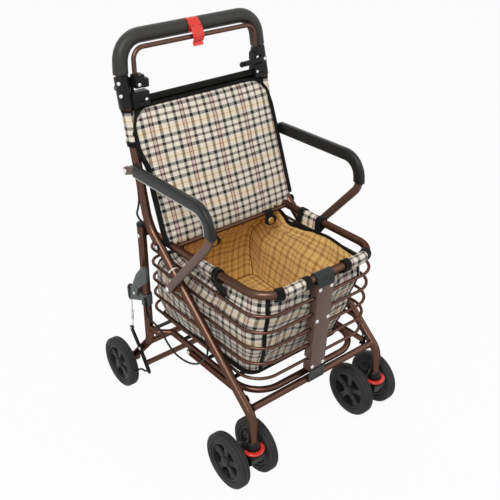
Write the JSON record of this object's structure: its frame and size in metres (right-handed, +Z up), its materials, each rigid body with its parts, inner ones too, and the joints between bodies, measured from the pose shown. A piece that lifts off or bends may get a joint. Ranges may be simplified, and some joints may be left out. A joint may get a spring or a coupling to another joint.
{
  "type": "folding shopping walker",
  "caption": "Folding shopping walker: bent tube frame with twin front castors, wire basket with cloth bag, padded seat flap, armrests, foam handle and squeeze brake.",
  "frame": {"origin": "middle of the footprint, on the floor that the wheels stand on", "axes": "+Z up; the walker rolls towards -Y, the rider stands at +Y; +X is the rider's right"},
  "size_m": [0.514, 0.6162, 0.9662],
  "materials": {
    "brown_paint": "fine metallic powder coat",
    "foam": "matt closed-cell foam",
    "black_plastic": "moulded, slightly glossy",
    "grey_plastic": "moulded, fine texture",
    "red_plastic": "moulded",
    "zinc": "zinc plated",
    "tyre": "matt rubber",
    "hub": "moulded",
    "plaid": "printed plaid cloth",
    "black_cloth": "woven cloth"
  },
  "bodies": {
    "frame": {"main_frame": "brown_paint", "handle_tube": "brown_paint", "foam_grip_left": "foam", "foam_grip_right": "foam", "handle_bracket_left": "black_plastic", "handle_bracket_right": "black_plastic", "back_band_bar": "black_cloth", "post_sleeve_left": "plaid", "post_sleeve_right": "plaid", "armrest_tube_left": "brown_paint", "armrest_tube_right": "brown_paint", "armrest_grip_left": "foam", "armrest_grip_right": "foam", "castor_collar_left": "black_plastic", "castor_collar_right": "black_plastic", "stay_catch_left": "black_plastic", "stay_catch_right": "black_plastic", "brake_cable": "black_plastic"},
    "basket": {"basket_rim": "brown_paint", "basket_wire_1": "brown_paint", "basket_wire_2": "brown_paint", "basket_wire_3": "brown_paint", "basket_wire_4": "brown_paint", "basket_wire_5": "brown_paint", "basket_rail": "brown_paint", "front_plate": "brown_paint", "plate_hook": "grey_plastic", "plate_catch": "grey_plastic", "bag": "plaid", "rear_frame": "brown_paint", "side_stay_left": "brown_paint", "side_stay_right": "brown_paint", "park_bracket": "grey_plastic"},
    "seat": {"seat_flap": "plaid"},
    "castor_left": {"castor_fork_left": "black_plastic", "castor_axle_left": "zinc"},
    "castor_right": {"castor_fork_right": "black_plastic", "castor_axle_right": "zinc"},
    "lock_left": {"swivel_lock_left": "red_plastic"},
    "lock_right": {"swivel_lock_right": "red_plastic"},
    "brake_bar": {"brake_bar": "brown_paint", "bar_socket_left": "black_plastic", "bar_socket_right": "black_plastic"},
    "brake_yoke": {"brake_yoke": "black_plastic"},
    "pull_rod": {"pull_rod": "zinc"},
    "park_lever": {"park_lever": "grey_plastic"},
    "parking_clip": {"parking_clip": "red_plastic"},
    "release_lever": {"release_lever": "black_plastic"},
    "wheel_rear_left": {"rear_left_tyre": "tyre", "rear_left_hub": "hub"},
    "wheel_rear_right": {"rear_right_tyre": "tyre", "rear_right_hub": "hub"},
    "wheel_outer_left": {"castor_outer_left_tyre": "tyre", "castor_outer_left_hub": "hub"},
    "wheel_inner_left": {"castor_inner_left_tyre": "tyre", "castor_inner_left_hub": "hub"},
    "wheel_outer_right": {"castor_outer_right_tyre": "tyre", "castor_outer_right_hub": "hub"},
    "wheel_inner_right": {"castor_inner_right_tyre": "tyre", "castor_inner_right_hub": "hub"}
  },
  "joints": [
    {"name": "fold", "type": "hinge", "parent": "frame", "child": "basket", "pos_m": [0, 0.067, 0.491], "axis": [1, 0, 0], "range_deg": [-35, 0], "deforming": ["brake_cable"]},
    {"name": "seat_hinge", "type": "hinge", "parent": "basket", "child": "seat", "pos_m": [0, 0.046, 0.4975], "axis": [1, 0, 0], "range_deg": [0, 109.5]},
    {"name": "brake_squeeze", "type": "slide", "parent": "frame", "child": "brake_bar", "axis": [0, 0.0686, 0.9976], "range_m": [0, 0.0075], "stiffness_N_per_m": 1500, "springref_m": -0.004},
    {"name": "yoke_turn", "type": "hinge", "parent": "basket", "child": "brake_yoke", "pos_m": [0, 0.1715, 0.141], "axis": [1, 0, 0], "range_deg": [0, 7.5]},
    {"name": "pull_rod_tilt", "type": "hinge", "parent": "basket", "child": "pull_rod", "pos_m": [-0.202, 0.2245, 0.2697], "axis": [1, 0, 0], "range_deg": [-4.4, 0]},
    {"name": "park_lever_turn", "type": "hinge", "parent": "basket", "child": "park_lever", "pos_m": [-0.2162, 0.172, 0.316], "axis": [1, 0, 0], "range_deg": [-40, 0]},
    {"name": "clip_turn", "type": "hinge", "parent": "frame", "child": "parking_clip", "pos_m": [0, 0.2004, 0.9486], "axis": [1, 0, 0], "range_deg": [-70, 0]},
    {"name": "release_turn", "type": "hinge", "parent": "frame", "child": "release_lever", "pos_m": [0.188, 0.1557, 0.846], "axis": [0, 1, 0], "range_deg": [-28, 0], "stiffness_Nm_per_rad": 0.05, "springref_deg": 14.32},
    {"name": "castor_left_swivel", "type": "hinge", "parent": "frame", "child": "castor_left", "pos_m": [-0.2015, -0.2767, 0.1107], "axis": [0, 0, 1], "continuous": true},
    {"name": "lock_left_turn", "type": "hinge", "parent": "castor_left", "child": "lock_left", "pos_m": [-0.2015, -0.2767, 0.1071], "axis": [1, 0, 0], "range_deg": [-10, 0]},
    {"name": "rear_left_spin", "type": "hinge", "parent": "basket", "child": "wheel_rear_left", "pos_m": [-0.2408, 0.2381, 0.07], "axis": [1, 0, 0], "continuous": true},
    {"name": "castor_outer_left_spin", "type": "hinge", "parent": "castor_left", "child": "wheel_outer_left", "pos_m": [-0.2435, -0.2381, 0.07], "axis": [1, 0, 0], "continuous": true},
    {"name": "castor_inner_left_spin", "type": "hinge", "parent": "castor_left", "child": "wheel_inner_left", "pos_m": [-0.1595, -0.2381, 0.07], "axis": [1, 0, 0], "continuous": true},
    {"name": "castor_right_swivel", "type": "hinge", "parent": "frame", "child": "castor_right", "pos_m": [0.2015, -0.2767, 0.1107], "axis": [0, 0, 1], "continuous": true},
    {"name": "lock_right_turn", "type": "hinge", "parent": "castor_right", "child": "lock_right", "pos_m": [0.2015, -0.2767, 0.1071], "axis": [1, 0, 0], "range_deg": [-10, 0]},
    {"name": "rear_right_spin", "type": "hinge", "parent": "basket", "child": "wheel_rear_right", "pos_m": [0.2408, 0.2381, 0.07], "axis": [1, 0, 0], "continuous": true},
    {"name": "castor_outer_right_spin", "type": "hinge", "parent": "castor_right", "child": "wheel_outer_right", "pos_m": [0.2435, -0.2381, 0.07], "axis": [1, 0, 0], "continuous": true},
    {"name": "castor_inner_right_spin", "type": "hinge", "parent": "castor_right", "child": "wheel_inner_right", "pos_m": [0.1595, -0.2381, 0.07], "axis": [1, 0, 0], "continuous": true}
  ],
  "couplings": [
    {"joint": "yoke_turn", "follows": "brake_squeeze", "rad_per_m": 17.45},
    {"joint": "pull_rod_tilt", "follows": "brake_squeeze", "rad_per_m": -10.2}
  ]
}
